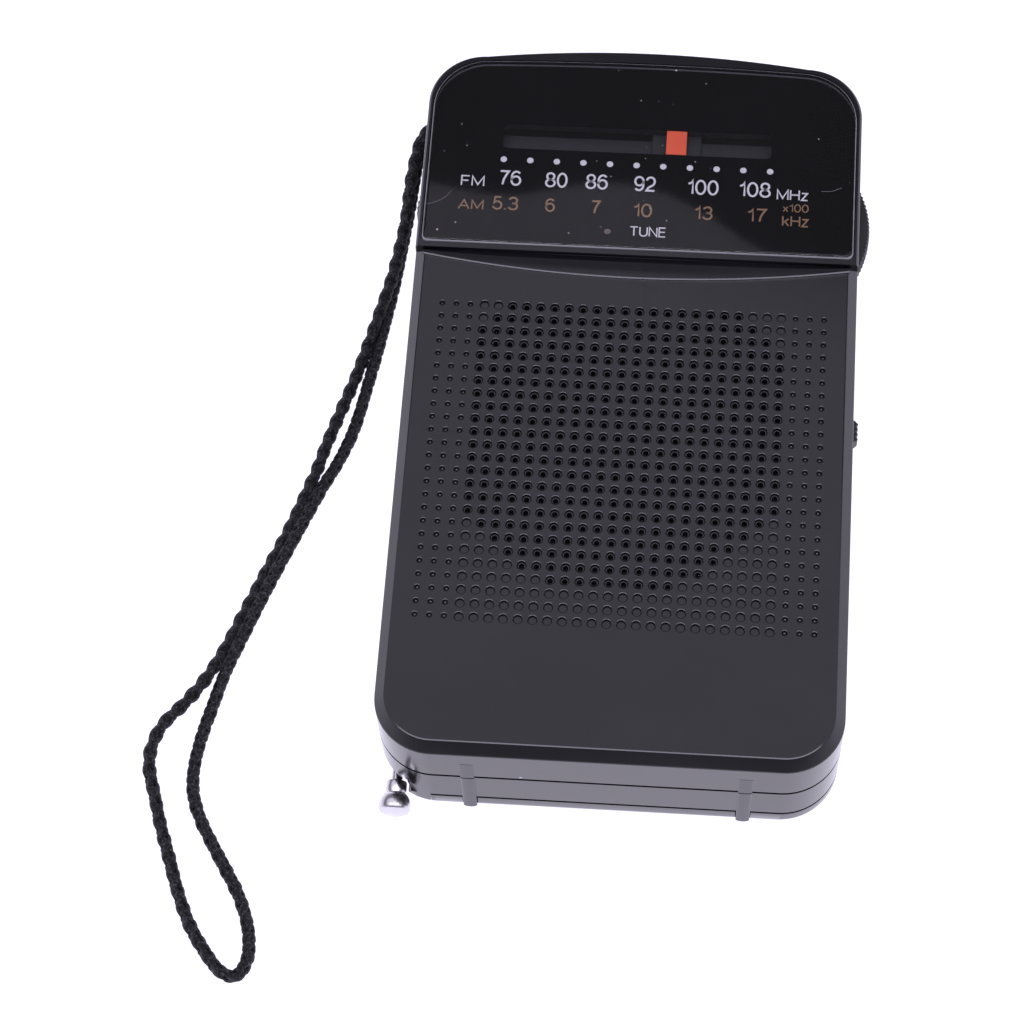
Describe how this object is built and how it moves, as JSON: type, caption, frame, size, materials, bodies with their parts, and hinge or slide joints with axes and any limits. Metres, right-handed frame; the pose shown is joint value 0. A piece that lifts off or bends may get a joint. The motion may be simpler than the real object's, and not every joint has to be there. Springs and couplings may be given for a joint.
{
  "type": "transistor pocket radio",
  "caption": "Pocket AM/FM radio lying on its back: perforated grille, clear dial with sliding pointer, thumb wheels, slide switch, battery door, telescopic antenna and wrist strap.",
  "frame": {"origin": "centre of the case's back, on the plane the radio lies on", "axes": "+X to the right seen from the front, +Y along the case towards the dial end, +Z out of the front face"},
  "size_m": [0.1092, 0.1528, 0.0246],
  "materials": {
    "black_gloss": "glossy moulded black, lightly scratched",
    "black_satin": "satin black",
    "clear_lens": "clear polished acrylic",
    "dial_print": "black with printed scales",
    "pointer_orange": "orange-red",
    "inner_plastic": "dark grey moulded",
    "white_nylon": "natural white",
    "red_led": "red epoxy",
    "chrome": "polished",
    "plated_steel": "bright plated",
    "brass": "plain",
    "speaker_steel": "passivated",
    "speaker_magnet": "sintered ferrite",
    "speaker_paper": "black pressed paper",
    "bare_aluminium": "spun",
    "dust_cloth": "black woven",
    "board_brown": "brown phenolic laminate",
    "ic_epoxy": "black epoxy",
    "ferrite": "dark grey",
    "copper_wire": "enamelled copper",
    "capacitor_sleeve": "blue sleeve",
    "cell_jacket": "plain printed jacket",
    "dial_cord": "braided",
    "wire_red": "insulated wire",
    "wire_black": "insulated wire",
    "strap_nylon": "braided nylon"
  },
  "bodies": {
    "case": {"front_cabinet": "black_gloss", "back_cabinet": "black_gloss", "dial_lens": "clear_lens", "dial_plate": "dial_print", "tuning_led": "red_led", "dial_cord": "dial_cord", "volume_pot": "plated_steel", "band_switch_body": "inner_plastic", "earphone_jack": "inner_plastic", "circuit_board": "board_brown", "tuning_capacitor": "white_nylon", "radio_ic": "ic_epoxy", "if_can_1": "plated_steel", "if_can_2": "plated_steel", "electrolytic": "capacitor_sleeve", "ferrite_rod": "ferrite", "ferrite_coil": "copper_wire", "ferrite_holder_left": "white_nylon", "ferrite_holder_right": "white_nylon", "speaker_wire_red": "wire_red", "battery_wire_red": "wire_red", "speaker_wire_black": "wire_black", "battery_wire_black": "wire_black", "speaker_basket": "speaker_steel", "speaker_magnet": "speaker_magnet", "speaker_cone": "speaker_paper", "speaker_dust_cap": "bare_aluminium", "speaker_cloth": "dust_cloth", "battery_cell_1": "cell_jacket", "battery_cell_2": "cell_jacket", "battery_tray": "inner_plastic", "battery_bridge_contact": "plated_steel", "battery_positive_contact": "plated_steel", "battery_negative_contact": "plated_steel", "antenna_screw": "plated_steel", "antenna_bracket": "brass", "strap_pin": "plated_steel", "wrist_strap": "strap_nylon", "case_screw_1": "plated_steel", "case_screw_2": "plated_steel", "case_screw_3": "plated_steel", "case_screw_4": "plated_steel"},
    "tuning_wheel": {"tuning_wheel": "black_satin", "tuning_shaft": "brass", "tuning_wheel_screw": "plated_steel"},
    "dial_pointer": {"dial_pointer": "pointer_orange"},
    "cord_pulley": {"cord_pulley": "white_nylon"},
    "volume_wheel": {"volume_wheel": "black_satin", "volume_shaft": "brass", "volume_wheel_screw": "plated_steel"},
    "band_switch_knob": {"band_switch_knob": "black_satin"},
    "battery_door": {"battery_door": "black_gloss"},
    "antenna_base": {"antenna_lug": "chrome", "antenna_section_1": "chrome"},
    "antenna_section_2": {"antenna_section_2": "chrome"},
    "antenna_section_3": {"antenna_section_3": "chrome"},
    "antenna_section_4": {"antenna_section_4": "chrome"},
    "antenna_tip": {"antenna_tip": "chrome"}
  },
  "joints": [
    {"name": "tuning", "type": "hinge", "parent": "case", "child": "tuning_wheel", "pos_m": [0.0195, 0.0342, 0.0137], "axis": [0, 0, 1], "range_deg": [-59.5, 118]},
    {"name": "pointer_slide", "type": "slide", "parent": "case", "child": "dial_pointer", "axis": [1, 0, 0], "range_m": [-0.0258, 0.0131]},
    {"name": "pulley_spin", "type": "hinge", "parent": "case", "child": "cord_pulley", "pos_m": [-0.027, 0.04365, 0.0177], "axis": [0, 0, 1], "range_deg": [-250, 492]},
    {"name": "volume", "type": "hinge", "parent": "case", "child": "volume_wheel", "pos_m": [-0.0272, 0.0352, 0.0137], "axis": [0, 0, 1], "range_deg": [0, 300]},
    {"name": "band_switch", "type": "slide", "parent": "case", "child": "band_switch_knob", "axis": [0, 1, 0], "range_m": [0, 0.003]},
    {"name": "door_slide", "type": "slide", "parent": "case", "child": "battery_door", "axis": [0, -1, 0], "range_m": [0, 0.036]},
    {"name": "antenna_fold", "type": "hinge", "parent": "case", "child": "antenna_base", "pos_m": [-0.0323, 0.0525, 0.0031], "axis": [1, 0, 0], "range_deg": [0, 180]},
    {"name": "antenna_slide_1", "type": "slide", "parent": "antenna_base", "child": "antenna_section_2", "axis": [0, -1, 0], "range_m": [0, 0.084]},
    {"name": "antenna_slide_2", "type": "slide", "parent": "antenna_section_2", "child": "antenna_section_3", "axis": [0, -1, 0], "range_m": [0, 0.084]},
    {"name": "antenna_slide_3", "type": "slide", "parent": "antenna_section_3", "child": "antenna_section_4", "axis": [0, -1, 0], "range_m": [0, 0.084]},
    {"name": "antenna_slide_4", "type": "slide", "parent": "antenna_section_4", "child": "antenna_tip", "axis": [0, -1, 0], "range_m": [0, 0.084]}
  ],
  "couplings": [
    {"joint": "pointer_slide", "follows": "tuning", "m_per_rad": -0.01245},
    {"joint": "pulley_spin", "follows": "tuning", "ratio": 4.15}
  ]
}
